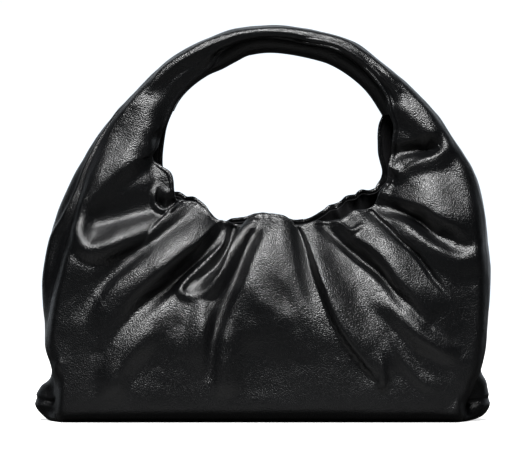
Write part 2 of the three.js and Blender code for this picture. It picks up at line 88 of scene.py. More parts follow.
# Stations run round the arm loop in degrees: 0 straight down, 90 right, 180 top, -90 left
FULL_TURN = 360.0
HANDLE_ROOT_LEFT = -124.0
HANDLE_ROOT_RIGHT = 118.0
ROOT_FADE = 12.0
PINCH_LEFT = -50.0
PINCH_RIGHT = 50.0
BASE_LEFT = -37.0
BASE_RIGHT = 36.0

# Rows run across the skin: 0 front rim, 1 front seam, 2 silhouette, 3 back seam, 4 back rim.
# A hide's roll ends and its edge starts at a row, and the fades of folds and lip are in rows too.
FRONT_SEAM = 1.0
MIDDLE = 2.0
BACK_SEAM = 3.0
BACK_END = 4.0
ROLL_END = 0.08
EDGE_START = 0.86
SEAM_FADE = 0.16
SIDE_FADE = 0.15
LIP_START = 0.95
LIP_FADE = 0.04

# Worn leather, in metres: size and height of its soft hollows, its wrinkles and its finest creases.
# It lies calm near the floor and is fully uneven a little higher.
WORN_CELLS = [(0.055, 0.0014), (0.024, 0.0008), (0.011, 0.00035)]
CALM_HEIGHT = 0.004
CALM_FADE = 0.02

# How far the lines of the folds wander sideways, and over which distance, in metres
WAVER = 0.002
WAVER_CELL = 0.035
WAVER_SEEDS = (31, 32)

# Streaks drawn in by the thread at the rim: height in metres, width in degrees, how often they change
# down the hide, and how far down they reach, in rows. Slower noise bends them sideways, and they
# are drawn over the mouth only. Each hide has streaks of its own.
STREAKS = [(0.0014, 5.5, 1.6, 0.55), (0.0005, 2.6, 3.5, 0.3)]
STREAK_BEND = 6.0
BEND_WIDTH = 25.0
BEND_CHANGE = 2.5
DRAWN_END = 100.0
DRAWN_FADE = 30.0
FRONT_SEED = 11
BACK_SEED = 21

# Steps of the meshes
FRONT_COLUMNS = 300
FRONT_ROWS = 120
BACK_COLUMNS = 220
BACK_ROWS = 80
HANDLE_COLUMNS = 200
HANDLE_ROWS = 40
GUSSET_COLUMNS = 150
CORNER_COLUMNS = 60
BASE_COLUMNS = 120
SIDE_ROWS = 24
STRIP_ROWS = 32
FACING_ROWS = 16

# The floor's white as the camera sees it, and its colour as the bag mirrors it, which is painted light and
# shade: a painted shadow at the bag's edge, a painted strip of light before that, painted dimness beyond the
# strip, and the share of that left far off. The fades between are distances from the bag's middle, in
# metres.
FLOOR_GLOW = 0.7
GLOW_FADE = (0.25, 0.55)
FLOOR_SEEN = 0.9
FLOOR_PAINTED_SHADOW = 0.04
FLOOR_PAINTED_LIGHT_STRIP = 0.36
FLOOR_PAINTED_SHADE = 0.12
FLOOR_FAR_SHARE = 0.15
EDGE_FADE = (0.065, 0.085)
STRIP_FADE = (0.12, 0.22)
FAR_FADE = (0.2, 0.6)

# The surround's white and its fades, which are shares of the way from the camera's side, -1, to
# behind the bag, 1
SURROUND_DARK = 0.01
SURROUND_WHITE = 1.0
SURROUND_SEEN = 1.15
SURROUND_COLOUR = (0.88, 0.94, 1)
BACKDROP_FADE = (0.35, 0.95)
FRONT_CARD = 0.08
CARD_FADE = (-0.95, -0.75)

# The softbox: place and size in metres, and watts
LAMP_PLACE = (-0.08, -0.79, 1.35)
LAMP_SIZE = (1.2, 0.36)
LAMP_WATTS = 62

# Below 1 deepens the picture's dark tones
VIEW_GAMMA = 0.87


def table(names, rows):
    """Named columns from rows of numbers."""
    return dict(zip(names, np.array(rows, float).T))


# Outer outline. seam: where front and side hides meet, edge: the silhouette half way to the back.
# x in shares of half the bag's width from the middle, z in shares of the bag's height.
OUTLINE = table(["at", "seam_x", "seam_z", "edge_x", "edge_z"], [
    [-170, -0.10, 0.990, -0.10, 0.993],
    [-150, -0.375, 0.924, -0.378, 0.928],
    [-130, -0.56, 0.825, -0.57, 0.829],
    [-120, -0.64, 0.772, -0.657, 0.772],
    [-108, -0.71, 0.700, -0.75, 0.700],
    [-94, -0.78, 0.600, -0.843, 0.601],
    [-79, -0.835, 0.480, -0.925, 0.477],
    [-66, -0.90, 0.335, -0.956, 0.335],
    [-56, -0.94, 0.190, -0.956, 0.195],
    [-50, -0.918, 0.135, -0.936, 0.135],
    [-46, -0.896, 0.085, -0.982, 0.088],
    [-41.5, -0.893, 0.038, -1.0, 0.043],
    [-38.8, -0.887, 0.012, -0.965, 0.010],
    [-37, -0.865, 0, -0.93, 0],
    [0, 0.02, 0, 0.02, 0],
    [36, 0.838, 0, 0.90, 0],
    [38.2, 0.862, 0.012, 0.962, 0.011],
    [41, 0.868, 0.038, 1.0, 0.044],
    [45, 0.902, 0.084, 0.985, 0.090],
    [50, 0.942, 0.138, 0.956, 0.140],
    [55, 0.962, 0.200, 0.978, 0.202],
    [62, 0.977, 0.350, 0.996, 0.350],
    [73, 0.963, 0.485, 0.976, 0.487],
    [86, 0.925, 0.598, 0.940, 0.602],
    [102, 0.827, 0.706, 0.837, 0.710],
    [120, 0.722, 0.790, 0.732, 0.793],
    [140, 0.565, 0.883, 0.570, 0.886],
    [160, 0.328, 0.970, 0.331, 0.974],
    [180, 0.04, 0.996, 0.04, 1.0],
])

# Front edge of the loop: the gathered rim of the mouth and the handle's underside.
# x in shares of half the loop's width from its middle, z: 0 at the rim's height, 1 at the top.
FRONT_RIM = table(["at", "x", "z"], [
    [-170, -0.20, 0.985],
    [-163, -0.34, 0.94],
    [-157, -0.45, 0.90],
    [-150, -0.58, 0.862],
    [-130, -0.845, 0.706],
    [-116, -0.95, 0.55],
    [-108, -1.025, 0.43],
    [-102, -1.09, 0.355],
    [-95, -1.0, 0.29],
    [-88, -0.92, 0.233],
    [-80, -0.908, 0.147],
    [-72, -0.835, 0.087],
    [-58, -0.70, 0.082],
    [-47, -0.60, 0.035],
    [-36, -0.473, -0.045],
    [-26, -0.35, -0.050],
    [-19, -0.264, -0.062],
    [-12, -0.18, -0.008],
    [0, -0.055, -0.002],
    [10, 0.075, -0.025],
    [20, 0.236, -0.085],
    [31, 0.455, -0.040],
    [38, 0.60, -0.042],
    [46, 0.736, 0.015],
    [56, 0.89, 0.044],
    [68, 0.975, 0.135],
    [80, 1.06, 0.21],
    [92, 1.072, 0.32],
    [108, 1.10, 0.50],
    [120, 0.99, 0.632],
    [140, 0.827, 0.785],
    [160, 0.455, 0.945],
    [180, -0.018, 1],
])

# Back edge of the loop, in the same shares: it stands a little higher beside the middle
BACK_RIM = table(["at", "x", "z"], [
    [-170, -0.20, 0.995],
    [-150, -0.58, 0.877],
    [-130, -0.845, 0.706],
    [-112, -0.97, 0.515],
    [-96, -1.0, 0.33],
    [-84, -0.955, 0.18],
    [-68, -0.79, 0.12],
    [-52, -0.645, 0.07],
    [-36, -0.49, -0.025],
    [-20, -0.265, -0.025],
    [0, -0.055, 0.010],
    [24, 0.285, -0.040],
    [41, 0.527, 0.060],
    [56, 0.77, 0.125],
    [70, 0.955, 0.172],
    [82, 1.02, 0.25],
    [98, 0.972, 0.405],
    [112, 0.968, 0.56],
    [120, 0.99, 0.632],
    [140, 0.827, 0.785],
    [160, 0.455, 0.945],
    [180, -0.018, 1],
])

# How far the handle's turned edge stands back from its underside, as a share of the way to the
# outer seam. Between the two shows the strip that closes the handle.
TURNED_EDGE = table(["at", "front", "back"], [
    [-175, 0.55, 0.15],
    [-163, 0.45, 0.15],
    [-152, 0.12, 0.10],
    [-140, 0.05, 0.05],
    [-100, 0, 0],
    [105, 0, 0],
    [118, 0.14, 0.05],
    [130, 0.32, 0.12],
    [150, 0.45, 0.15],
    [160, 0.52, 0.15],
    [170, 0.46, 0.15],
])

# Depth of each station. pouch: 1 where the hide bellies as deep as the base, 0 on the handle.
# seam: depth of the front seam as a share of the belly, fullest: where down the hide it bellies most
DEPTHS = table(["at", "pouch", "seam", "fullest"], [
    [-180, 0, 0.45, 0.40],
    [-124, 0.04, 0.50, 0.50],
    [-100, 0.20, 0.60, 0.60],
    [-75, 0.52, 0.64, 0.64],
    [-50, 0.86, 0.62, 0.66],
    [-37, 1, 0.72, 0.66],
    [0, 1, 0.76, 0.66],
    [36, 1, 0.72, 0.66],
    [50, 0.86, 0.62, 0.66],
    [75, 0.52, 0.64, 0.64],
    [97, 0.20, 0.60, 0.60],
    [118, 0.04, 0.50, 0.50],
    [180, 0, 0.45, 0.40],
])

# Folds, each a ridge or, where its height is below 0, a valley along a smooth path. A path lists
# x and z in shares of half the bag's width and of its height, and the height there in shares of the
# fold relief. left and right, seen along the path, say how wide the fold falls off to that side, in
# shares of the rim's height, and how crisply: 0 fades out softly, 1 ends in a steep face.
FOLD_COLUMNS = ["path", "left", "right", "crisp_left", "crisp_right"]


def folds(rows):
    """Named folds from rows of a path, two widths and two crispnesses."""
    return [dict(zip(FOLD_COLUMNS, row)) for row in rows]


# Large forms of the front hide. Where two meet, the higher one wins and a crease is left.
FRONT_FORMS = folds([
    # main gather on the left
    [[(-0.19, 0.493, 0.5), (-0.232, 0.472, 0.85), (-0.306, 0.44, 1.1), (-0.371, 0.415, 1.15),
      (-0.445, 0.381, 1.05), (-0.518, 0.347, 0.8), (-0.583, 0.314, 0.55), (-0.645, 0.27, 0.35),
      (-0.70, 0.215, 0.1)], 0.07, 0.17, 0.4, 0],
    # flap of that gather, where it overlaps the pocket
    [[(-0.35, 0.555, 0.1), (-0.40, 0.52, 0.4), (-0.452, 0.495, 0.5), (-0.488, 0.472, 0.45),
      (-0.515, 0.435, 0.1)], 0.12, 0.014, 0, 1],
    # lower gather on the left
    [[(-0.34, 0.335, 0), (-0.40, 0.295, 0.1), (-0.465, 0.25, 0.2), (-0.53, 0.205, 0.4),
      (-0.59, 0.16, 0.52), (-0.63, 0.12, 0.62), (-0.645, 0.085, 0.55), (-0.64, 0.045, 0.1)],
     0.10, 0.12, 0, 0],
    # smooth tail below the tongue
    [[(-0.27, 0.31, 0.2), (-0.265, 0.24, 0.35), (-0.27, 0.17, 0.25), (-0.28, 0.10, 0)],
     0.07, 0.09, 0, 0],
    # edge of the middle lobe, round the tongue
    [[(-0.045, 0.50, 0.4), (-0.07, 0.475, 0.6), (-0.095, 0.45, 0.75), (-0.125, 0.415, 0.8),
      (-0.16, 0.38, 0.75), (-0.20, 0.35, 0.65), (-0.24, 0.325, 0.45), (-0.29, 0.31, 0.15)],
     0.06, 0.055, 0, 0],
    # middle lobe
    [[(0.06, 0.50, 0.6), (0.0, 0.43, 0.8), (-0.04, 0.35, 0.75), (-0.07, 0.26, 0.4), (-0.09, 0.17, 0.05)],
     0.30, 0.18, 0, 0],
    # tail of the lobe
    [[(-0.12, 0.30, 0.1), (-0.15, 0.25, 0.25), (-0.17, 0.19, 0.35), (-0.178, 0.13, 0.5),
      (-0.178, 0.09, 0.45), (-0.17, 0.05, 0)], 0.14, 0.06, 0, 0.2],
    # soft roll of the hide over its base edge
    [[(-0.82, 0.05, 0.05), (-0.65, 0.05, 0.2), (-0.30, 0.05, 0.2), (0.30, 0.05, 0.2), (0.62, 0.05, 0.2),
      (0.80, 0.05, 0.05)], 0.22, 0.12, 0, 0],
    # broad gather right of the long pleat
    [[(0.145, 0.50, 0.4), (0.195, 0.45, 0.7), (0.225, 0.395, 0.95), (0.26, 0.335, 1.0),
      (0.31, 0.26, 0.85), (0.38, 0.195, 0.65), (0.475, 0.128, 0.5), (0.515, 0.095, 0.1)],
     0.18, 0.022, 0, 0.8],
    # tip of that pleat
    [[(0.47, 0.19, 0.1), (0.50, 0.155, 0.45), (0.515, 0.12, 0.65), (0.515, 0.095, 0.6), (0.50, 0.075, 0.1)],
     0.05, 0.035, 0, 0.2],
    # lower gather on the right
    [[(0.50, 0.32, 0.05), (0.56, 0.28, 0.35), (0.63, 0.238, 0.55), (0.70, 0.203, 0.55), (0.77, 0.178, 0.4),
      (0.84, 0.155, 0.1)], 0.10, 0.06, 0, 0.4],
    # upper gather on the right
    [[(0.33, 0.50, 0.3), (0.38, 0.47, 0.6), (0.44, 0.448, 0.8), (0.50, 0.419, 0.9), (0.557, 0.381, 0.9),
      (0.60, 0.347, 0.8), (0.645, 0.314, 0.6), (0.72, 0.25, 0.15)], 0.21, 0.045, 0, 0.7],
    # low gather on the right
    [[(0.56, 0.20, 0.1), (0.62, 0.145, 0.3), (0.69, 0.10, 0.3), (0.77, 0.07, 0.05)], 0.07, 0.05, 0, 0.4],
    # wedge under the right shoulder, its upper edge
    [[(0.53, 0.575, 0.1), (0.63, 0.555, 0.4), (0.69, 0.543, 0.55), (0.74, 0.525, 0.55), (0.785, 0.505, 0.55),
      (0.85, 0.485, 0.45), (0.93, 0.45, 0.15)], 0.22, 0.06, 0, 0.4],
    # soft fold in the wedge
    [[(0.53, 0.53, 0.1), (0.60, 0.508, 0.35), (0.65, 0.487, 0.4), (0.718, 0.457, 0.35), (0.765, 0.442, 0.1)],
     0.05, 0.05, 0, 0],
    # lower edge of the wedge
    [[(0.56, 0.505, 0.15), (0.63, 0.474, 0.4), (0.69, 0.449, 0.4), (0.75, 0.43, 0.38), (0.805, 0.415, 0.36),
      (0.864, 0.408, 0.35), (0.91, 0.42, 0.3), (0.935, 0.445, 0.1)], 0.05, 0.13, 0, 0.1],
    # right shoulder
    [[(0.55, 0.86, 0.05), (0.60, 0.803, 0.2), (0.675, 0.757, 0.4), (0.73, 0.727, 0.45), (0.77, 0.717, 0.3)],
     0.14, 0.08, 0, 0.1],
    # lip of the dimple in the right shoulder
    [[(0.775, 0.725, 0.2), (0.79, 0.70, 0.35), (0.78, 0.68, 0.34), (0.747, 0.662, 0.3), (0.70, 0.648, 0.28),
      (0.65, 0.635, 0.26), (0.60, 0.613, 0.2), (0.55, 0.59, 0.05)], 0.09, 0.03, 0, 0.1],
    # pocket on the left, its lower lip
    [[(-0.775, 0.61, 0.3), (-0.80, 0.53, 0.5), (-0.795, 0.465, 0.6),
      (-0.755, 0.432, 0.7), (-0.70, 0.43, 0.7), (-0.60, 0.452, 0.6), (-0.50, 0.478, 0.4),
      (-0.44, 0.50, 0.1)], 0.09, 0.06, 0, 0.7],
    # left shoulder
    [[(-0.465, 0.86, 0.05), (-0.475, 0.82, 0.2), (-0.50, 0.77, 0.4), (-0.505, 0.72, 0.6),
      (-0.535, 0.675, 0.7), (-0.60, 0.64, 0.7), (-0.675, 0.608, 0.6), (-0.75, 0.56, 0.35)],
     0.10, 0.18, 0, 0],
    # knob beside the loop
    [[(-0.455, 0.655, 0.2), (-0.415, 0.63, 0.5), (-0.40, 0.595, 0.6), (-0.415, 0.57, 0.5)],
     0.05, 0.07, 0.5, 0.3],
])

# Smaller folds and creases over those forms
FRONT_CREASES = folds([
    # hollow over the left pocket
    [[(-0.75, 0.50, -0.3), (-0.68, 0.505, -0.55), (-0.58, 0.522, -0.55), (-0.49, 0.535, -0.25)],
     0.14, 0.07, 0, 0],
    # soft swell of the wall under the left pocket
    [[(-0.94, 0.44, 0.1), (-0.88, 0.42, 0.3), (-0.81, 0.39, 0.3), (-0.75, 0.35, 0.05)],
     0.10, 0.28, 0, 0],
    # soft dents and one soft swell of the middle lobe
    [[(0.0, 0.40, -0.05), (0.03, 0.34, -0.15), (0.10, 0.29, -0.05)], 0.07, 0.08, 0, 0],
    [[(0.095, 0.47, 0.05), (0.125, 0.39, 0.14), (0.165, 0.31, 0.14), (0.22, 0.23, 0.05)],
     0.06, 0.08, 0, 0],
    [[(-0.10, 0.30, -0.05), (-0.03, 0.26, -0.12), (0.05, 0.24, 0)], 0.08, 0.10, 0, 0],
    # edge of the tongue
    [[(-0.145, 0.50, 0.1), (-0.147, 0.47, 0.25), (-0.174, 0.445, 0.3), (-0.218, 0.421, 0.33),
      (-0.269, 0.394, 0.33), (-0.313, 0.368, 0.33), (-0.344, 0.345, 0.3), (-0.351, 0.328, 0.27),
      (-0.335, 0.317, 0.2), (-0.30, 0.314, 0.05)], 0.03, 0.045, 0, 0],
    # hollow of the tongue
    [[(-0.13, 0.487, -0.2), (-0.145, 0.445, -0.4), (-0.189, 0.406, -0.4), (-0.24, 0.377, -0.3),
      (-0.291, 0.347, -0.05)], 0.035, 0.03, 0, 0],
    # valley between tongue and main gather
    [[(-0.174, 0.478, -0.2), (-0.262, 0.423, -0.5), (-0.342, 0.381, -0.6), (-0.408, 0.347, -0.5),
      (-0.481, 0.309, -0.35), (-0.547, 0.271, -0.2), (-0.64, 0.20, 0)], 0.07, 0.05, 0, 0],
    # valley beside the lobe's edge
    [[(-0.05, 0.462, -0.25), (-0.085, 0.402, -0.4), (-0.125, 0.347, -0.4), (-0.17, 0.297, -0.3),
      (-0.20, 0.246, -0.25), (-0.225, 0.18, -0.2), (-0.225, 0.10, 0)], 0.06, 0.05, 0, 0],
    # valley between the main gather and the pocket
    [[(-0.52, 0.43, -0.1), (-0.60, 0.395, -0.35), (-0.68, 0.35, -0.35), (-0.78, 0.25, 0)],
     0.06, 0.09, 0, 0],
    # creases between the gathers on the right
    [[(0.265, 0.487, -0.15), (0.345, 0.453, -0.4), (0.418, 0.415, -0.5), (0.491, 0.377, -0.5),
      (0.55, 0.339, -0.4), (0.60, 0.29, -0.1)], 0.035, 0.045, 0.1, 0],
    [[(0.462, 0.53, -0.15), (0.50, 0.508, -0.3), (0.542, 0.487, -0.35), (0.60, 0.453, -0.35),
      (0.66, 0.423, -0.35), (0.703, 0.394, -0.35), (0.747, 0.356, -0.3), (0.80, 0.315, -0.05)],
     0.016, 0.022, 0.6, 0.2],
    # hollow of the wedge
    [[(0.49, 0.546, -0.2), (0.58, 0.53, -0.6), (0.652, 0.512, -0.8), (0.71, 0.485, -0.8),
      (0.765, 0.462, -0.55), (0.84, 0.447, -0.1)], 0.065, 0.06, 0.1, 0],
    # dimple in the right shoulder
    [[(0.57, 0.675, -0.3), (0.65, 0.682, -0.7), (0.715, 0.69, -0.8), (0.76, 0.70, -0.3)],
     0.055, 0.06, 0, 0],
    # small bulge where the dimple's lip meets the loop's edge
    [[(0.555, 0.648, 0.1), (0.58, 0.635, 0.3), (0.62, 0.622, 0.05)], 0.04, 0.04, 0, 0],
    # small loop fold at the rim
    [[(0.33, 0.497, 0.1), (0.367, 0.477, 0.25), (0.398, 0.472, 0.3), (0.426, 0.484, 0.15)],
     0.018, 0.018, 0.2, 0.4],
    # crease under the knob and the fold that leaves it
    [[(-0.455, 0.575, -0.1), (-0.44, 0.548, -0.35), (-0.415, 0.538, -0.4), (-0.385, 0.545, -0.2)],
     0.022, 0.03, 0.2, 0],
    [[(-0.46, 0.59, 0.05), (-0.468, 0.56, 0.25), (-0.45, 0.53, 0.3), (-0.41, 0.525, 0.25),
      (-0.37, 0.54, 0.05)], 0.02, 0.025, 0.2, 0],
    # soft ruffle along the loop's left side
    [[(-0.40, 0.72, -0.4), (-0.45, 0.71, -0.35), (-0.50, 0.705, -0.1)], 0.06, 0.06, 0, 0],
    # dart over the left corner
    [[(-0.91, 0.128, 0.1), (-0.885, 0.145, 0.15), (-0.86, 0.16, 0)], 0.02, 0.03, 0.3, 0.3],
    # dent over the right corner
    [[(0.80, 0.045, -0.1), (0.85, 0.07, -0.15), (0.88, 0.10, -0.05)], 0.06, 0.06, 0, 0],
])

# Gathers of the back hide, fewer and softer
BACK_FORMS = folds([
    [[(-0.60, 0.66, 0.4), (-0.71, 0.53, 0.5), (-0.78, 0.36, 0.1)], 0.12, 0.14, 0.2, 0.2],
    [[(-0.28, 0.53, 0.5), (-0.42, 0.40, 0.65), (-0.52, 0.22, 0.1)], 0.11, 0.15, 0.4, 0.1],
    [[(-0.06, 0.50, 0.6), (-0.09, 0.36, 0.6), (-0.12, 0.18, 0)], 0.17, 0.13, 0.1, 0.4],
    [[(0.20, 0.49, 0.6), (0.24, 0.36, 0.6), (0.30, 0.18, 0)], 0.13, 0.16, 0.4, 0.1],
    [[(0.44, 0.54, 0.6), (0.54, 0.40, 0.65), (0.62, 0.22, 0)], 0.15, 0.11, 0.1, 0.4],
    [[(0.64, 0.64, 0.4), (0.76, 0.52, 0.55), (0.85, 0.32, 0)], 0.15, 0.12, 0.2, 0.3],
])
BACK_CREASES = folds([
    [[(-0.17, 0.52, -0.2), (-0.24, 0.40, -0.4), (-0.30, 0.28, 0)], 0.05, 0.05, 0.3, 0.3],
    [[(0.33, 0.53, -0.2), (0.40, 0.40, -0.4), (0.46, 0.28, 0)], 0.05, 0.05, 0.3, 0.3],
    # drawn in folds at its rim, seen over the front rim
    [[(0.30, 0.55, 0.25), (0.31, 0.52, 0.3), (0.33, 0.47, 0)], 0.04, 0.04, 0, 0],
    [[(0.385, 0.58, 0.35), (0.38, 0.55, 0.35), (0.40, 0.49, 0)], 0.03, 0.03, 0.1, 0.1],
    [[(0.43, 0.60, 0.35), (0.44, 0.56, 0.35), (0.46, 0.51, 0)], 0.03, 0.03, 0.1, 0.1],
    [[(0.51, 0.62, 0.3), (0.52, 0.58, 0.3), (0.54, 0.52, 0)], 0.045, 0.045, 0, 0],
    [[(-0.36, 0.60, 0.3), (-0.365, 0.57, 0.3), (-0.38, 0.52, 0)], 0.035, 0.035, 0, 0],
    [[(-0.30, 0.59, 0.3), (-0.305, 0.56, 0.3), (-0.32, 0.50, 0)], 0.035, 0.035, 0, 0],
])

# Folds of the handle
HANDLE_FORMS = folds([
    # rolled ridge under its top
    [[(-0.50, 0.82, 0), (-0.46, 0.86, 0.2), (-0.425, 0.888, 0.28), (-0.338, 0.922, 0.3),
      (-0.232, 0.953, 0.32), (-0.10, 0.971, 0.3), (0.0, 0.98, 0.28), (0.10, 0.985, 0.22),
      (0.206, 0.981, 0.22), (0.32, 0.964, 0.22), (0.425, 0.935, 0.22), (0.504, 0.90, 0.22),
      (0.548, 0.87, 0.22), (0.585, 0.835, 0.1)],
     0.03, 0.06, 0.2, 0.5],
    # fold that runs down into its right root
    [[(0.12, 0.955, 0.1), (0.206, 0.955, 0.3), (0.32, 0.935, 0.4), (0.40, 0.915, 0.4), (0.452, 0.888, 0.4),
      (0.51, 0.852, 0.4), (0.545, 0.815, 0.35), (0.555, 0.78, 0.25), (0.565, 0.73, 0.2),
      (0.55, 0.66, 0.2), (0.54, 0.60, 0.2), (0.50, 0.56, 0.1)], 0.035, 0.03, 0.1, 0.3],
    # small fold over its turned edge
    [[(-0.25, 0.922, 0.1), (-0.19, 0.945, 0.2), (-0.12, 0.968, 0.2), (-0.06, 0.975, 0.1)],
     0.03, 0.03, 0.4, 0.2],
])

# Folds of the sides, in the same front view shares
SIDE_CREASES = folds([
    # ridge down the left side
    [[(-0.595, 0.807, 0), (-0.66, 0.75, 0.2), (-0.745, 0.664, 0.3), (-0.805, 0.581, 0.3),
      (-0.86, 0.512, 0.3), (-0.91, 0.443, 0.3), (-0.94, 0.34, 0.25), (-0.955, 0.25, 0)],
     0.025, 0.025, 0.3, 0.3],
    # crease that parts each tucked corner's lip from its rounded upper half
    [[(-1.0, 0.056, -0.08), (-0.96, 0.05, -0.18), (-0.90, 0.056, -0.15)], 0.014, 0.03, 0.5, 0.2],
    [[(1.0, 0.058, -0.08), (0.96, 0.054, -0.18), (0.89, 0.04, -0.15)], 0.03, 0.014, 0.2, 0.5],
    # hollow down each tucked corner
    [[(-0.925, 0.13, -0.1), (-0.94, 0.085, -0.5), (-0.94, 0.03, -0.4)], 0.06, 0.06, 0, 0],
    [[(0.945, 0.13, -0.1), (0.93, 0.085, -0.5), (0.905, 0.03, -0.4)], 0.06, 0.06, 0, 0],
])


def rise(k):
    """Smooth step: 3k^2 - 2k^3 between 0 and 1, level outside."""
    k = np.clip(k, 0.0, 1.0)
    return k * k * (3 - 2 * k)


def mix(a, b, k):
    """a at k 0, b at k 1."""
    return a + (b - a) * k


def round_curve(rows, column):
    """A table's column as a function of the station, closed after one turn.

    Between two rows it is the cubic Hermite curve. Its slope at a row is the weighted harmonic mean
    of the slopes of the steps before and after it, and 0 where those differ in sign, so the curve
    never overshoots a row.
    """
    at, value = rows["at"], rows[column]
    knots = np.concatenate([at - FULL_TURN, at, at + FULL_TURN])
    values = np.tile(value, 3)
    keep = np.concatenate([[True], np.diff(knots) > 0])
    knots, values = knots[keep], values[keep]
    span = np.diff(knots)
    step = np.diff(values) / span
    span_in, span_out, step_in, step_out = span[:-1], span[1:], step[:-1], step[1:]
    same_way = step_in * step_out > 0
    safe_in = np.where(same_way, step_in, 1.0)
    safe_out = np.where(same_way, step_out, 1.0)
    mean = 3 * (span_in + span_out) / (
        (2 * span_out + span_in) / safe_in + (span_out + 2 * span_in) / safe_out)
    slope = np.concatenate([[0.0], np.where(same_way, mean, 0.0), [0.0]])

    def curve(station):
        here = np.asarray(station, float)
        i = np.clip(np.searchsorted(knots, here, side="right") - 1, 0, len(span) - 1)
        k = (here - knots[i]) / span[i]
        square, cube = k * k, k * k * k
        return (values[i] * (2 * cube - 3 * square + 1) + slope[i] * span[i] * (cube - 2 * square + k)
                + values[i + 1] * (3 * square - 2 * cube) + slope[i + 1] * span[i] * (cube - square))

    return curve


SEAM = (round_curve(OUTLINE, "seam_x"), round_curve(OUTLINE, "seam_z"))
EDGE = (round_curve(OUTLINE, "edge_x"), round_curve(OUTLINE, "edge_z"))
RIMS = {side: (round_curve(rows, "x"), round_curve(rows, "z"))
        for side, rows in (("front", FRONT_RIM), ("back", BACK_RIM))}
TURNED = {side: round_curve(TURNED_EDGE, side) for side in ("front", "back")}
POUCH, SEAM_SHARE, FULLEST = (round_curve(DEPTHS, name) for name in ("pouch", "seam", "fullest"))


def outline_point(curves, at):
    """Front view place of the outline: x share times half the width, z share times the height."""
    return np.stack([curves[0](at) * BAG_WIDTH / 2, curves[1](at) * BAG_HEIGHT], -1)


def loop_point(side, at):
    """Front view place of the loop's edge: x share times half the loop's width, shifted to its
    middle, and z between the rim's height and the loop's top."""
    x, z = RIMS[side]
    return np.stack([LOOP_SHIFT + x(at) * LOOP_WIDTH / 2, mix(RIM_HEIGHT, LOOP_TOP, z(at))], -1)


def rim_point(side, at):
    """Where a hide ends round the loop: at its rim, or on the handle at its turned edge, which is
    the stated share of the way from the loop's edge to the outer seam."""
    return mix(loop_point(side, at), outline_point(SEAM, at), TURNED[side](at)[..., None])


def handle_share(at):
    """How much a station belongs to the handle: 1 between its roots, and a smooth step down to 0
    within the blend past them."""
    blend = 14.0
    from_top = np.mod(at, FULL_TURN) - FULL_TURN / 2
    root = np.where(from_top > 0, FULL_TURN / 2 + HANDLE_ROOT_LEFT, FULL_TURN / 2 - HANDLE_ROOT_RIGHT)
    return 1 - rise((np.abs(from_top) - root) / blend)


def seam_level(at):
    """1 where the seam lies on the floor, so that the turned edge ends level there: two smooth
    steps multiplied, one at each end of the base."""
    blend = 2.0
    return rise((at - BASE_LEFT + blend) / blend) * rise((BASE_RIGHT + blend - at) / blend)


def half_section(at, length, down):
    """One station's section: share of the way from rim to seam, and depth from the middle plane.

    The turned edge at the rim and the edge at the seam are quarter ellipses. Between them the
    depth goes from the rim's to the belly's with the sine of a quarter turn, reached at the
    fullest row.
    """
    handle = handle_share(at)
    belly = mix(HANDLE_DEPTH / 2, BASE_DEPTH / 2, POUCH(at))
    seam_depth = mix(belly * SEAM_SHARE(at), belly - BASE_EDGE, seam_level(at))
    edge = np.minimum(mix(BASE_EDGE, HANDLE_EDGE, handle), length / 2)
    roll = np.minimum(RIM_ROLL, length / 4)
    quarter = math.pi / 2
    roll_turn = quarter * np.clip(down / ROLL_END, 0, 1)
    edge_turn = quarter * np.clip((down - EDGE_START) / (1 - EDGE_START), 0, 1)
    k = np.clip((down - ROLL_END) / (EDGE_START - ROLL_END), 0, 1)
    full = np.sin(quarter * np.minimum(1.0, k / FULLEST(at)))
    share = np.where(down < ROLL_END, roll * (1 - np.cos(roll_turn)) / length,
                     np.where(down > EDGE_START, 1 - edge * (1 - np.sin(edge_turn)) / length,
                              mix(roll / length, 1 - edge / length, k)))
    depth = np.where(down < ROLL_END, RIM_DEPTH + roll / 2 * np.sin(roll_turn),
                     np.where(down > EDGE_START,
                              seam_depth + (belly - seam_depth) * np.cos(edge_turn),
                              mix(RIM_DEPTH + roll / 2, belly, full)))
    return share, depth


def skin(at, across):
    """The unfolded skin at stations and rows, as an array of points.

    Front and back walls run straight from rim to seam in the front view, with the depth of their
    section. The side between the seams is a parabola: reach goes from 1 at a seam to 0 at the
    silhouette, the depth with it, and the front view place with 1 less its square.
    """
    at, across = np.broadcast_arrays(np.asarray(at, float), np.asarray(across, float))
    front = across <= MIDDLE
    down = np.where(front, across, BACK_END - across)
    rim = np.where(front[..., None], rim_point("front", at), rim_point("back", at))
    seam = outline_point(SEAM, at)
    length = np.linalg.norm(seam - rim, axis=-1)
    share, depth = half_section(at, length, np.clip(down, 0, 1))
    wall = mix(rim, seam, share[..., None])
    reach = np.clip(2 - down, 0, 1)
    side = mix(seam, outline_point(EDGE, at), (1 - reach * reach)[..., None])
    on_wall = down <= 1
    place = np.where(on_wall[..., None], wall, side)
    depth = np.where(on_wall, depth, depth * reach) * np.where(front, -1.0, 1.0)
    return np.stack([place[..., 0], depth, place[..., 1]], -1)


def unit(vectors):
    """Vectors divided by their length."""
    return vectors / np.linalg.norm(vectors, axis=-1, keepdims=True)


def skin_normal(at, across):
    """Outward normal of the unfolded skin: the cross product of a small step across and round."""
    step_at, step_across = 0.6, 0.012
    turn = skin(at + step_at, across) - skin(at - step_at, across)
    low = np.clip(across - step_across, 0, BACK_END)
    high = np.clip(across + step_across, 0, BACK_END)
    return unit(np.cross(skin(at, high) - skin(at, low), turn))


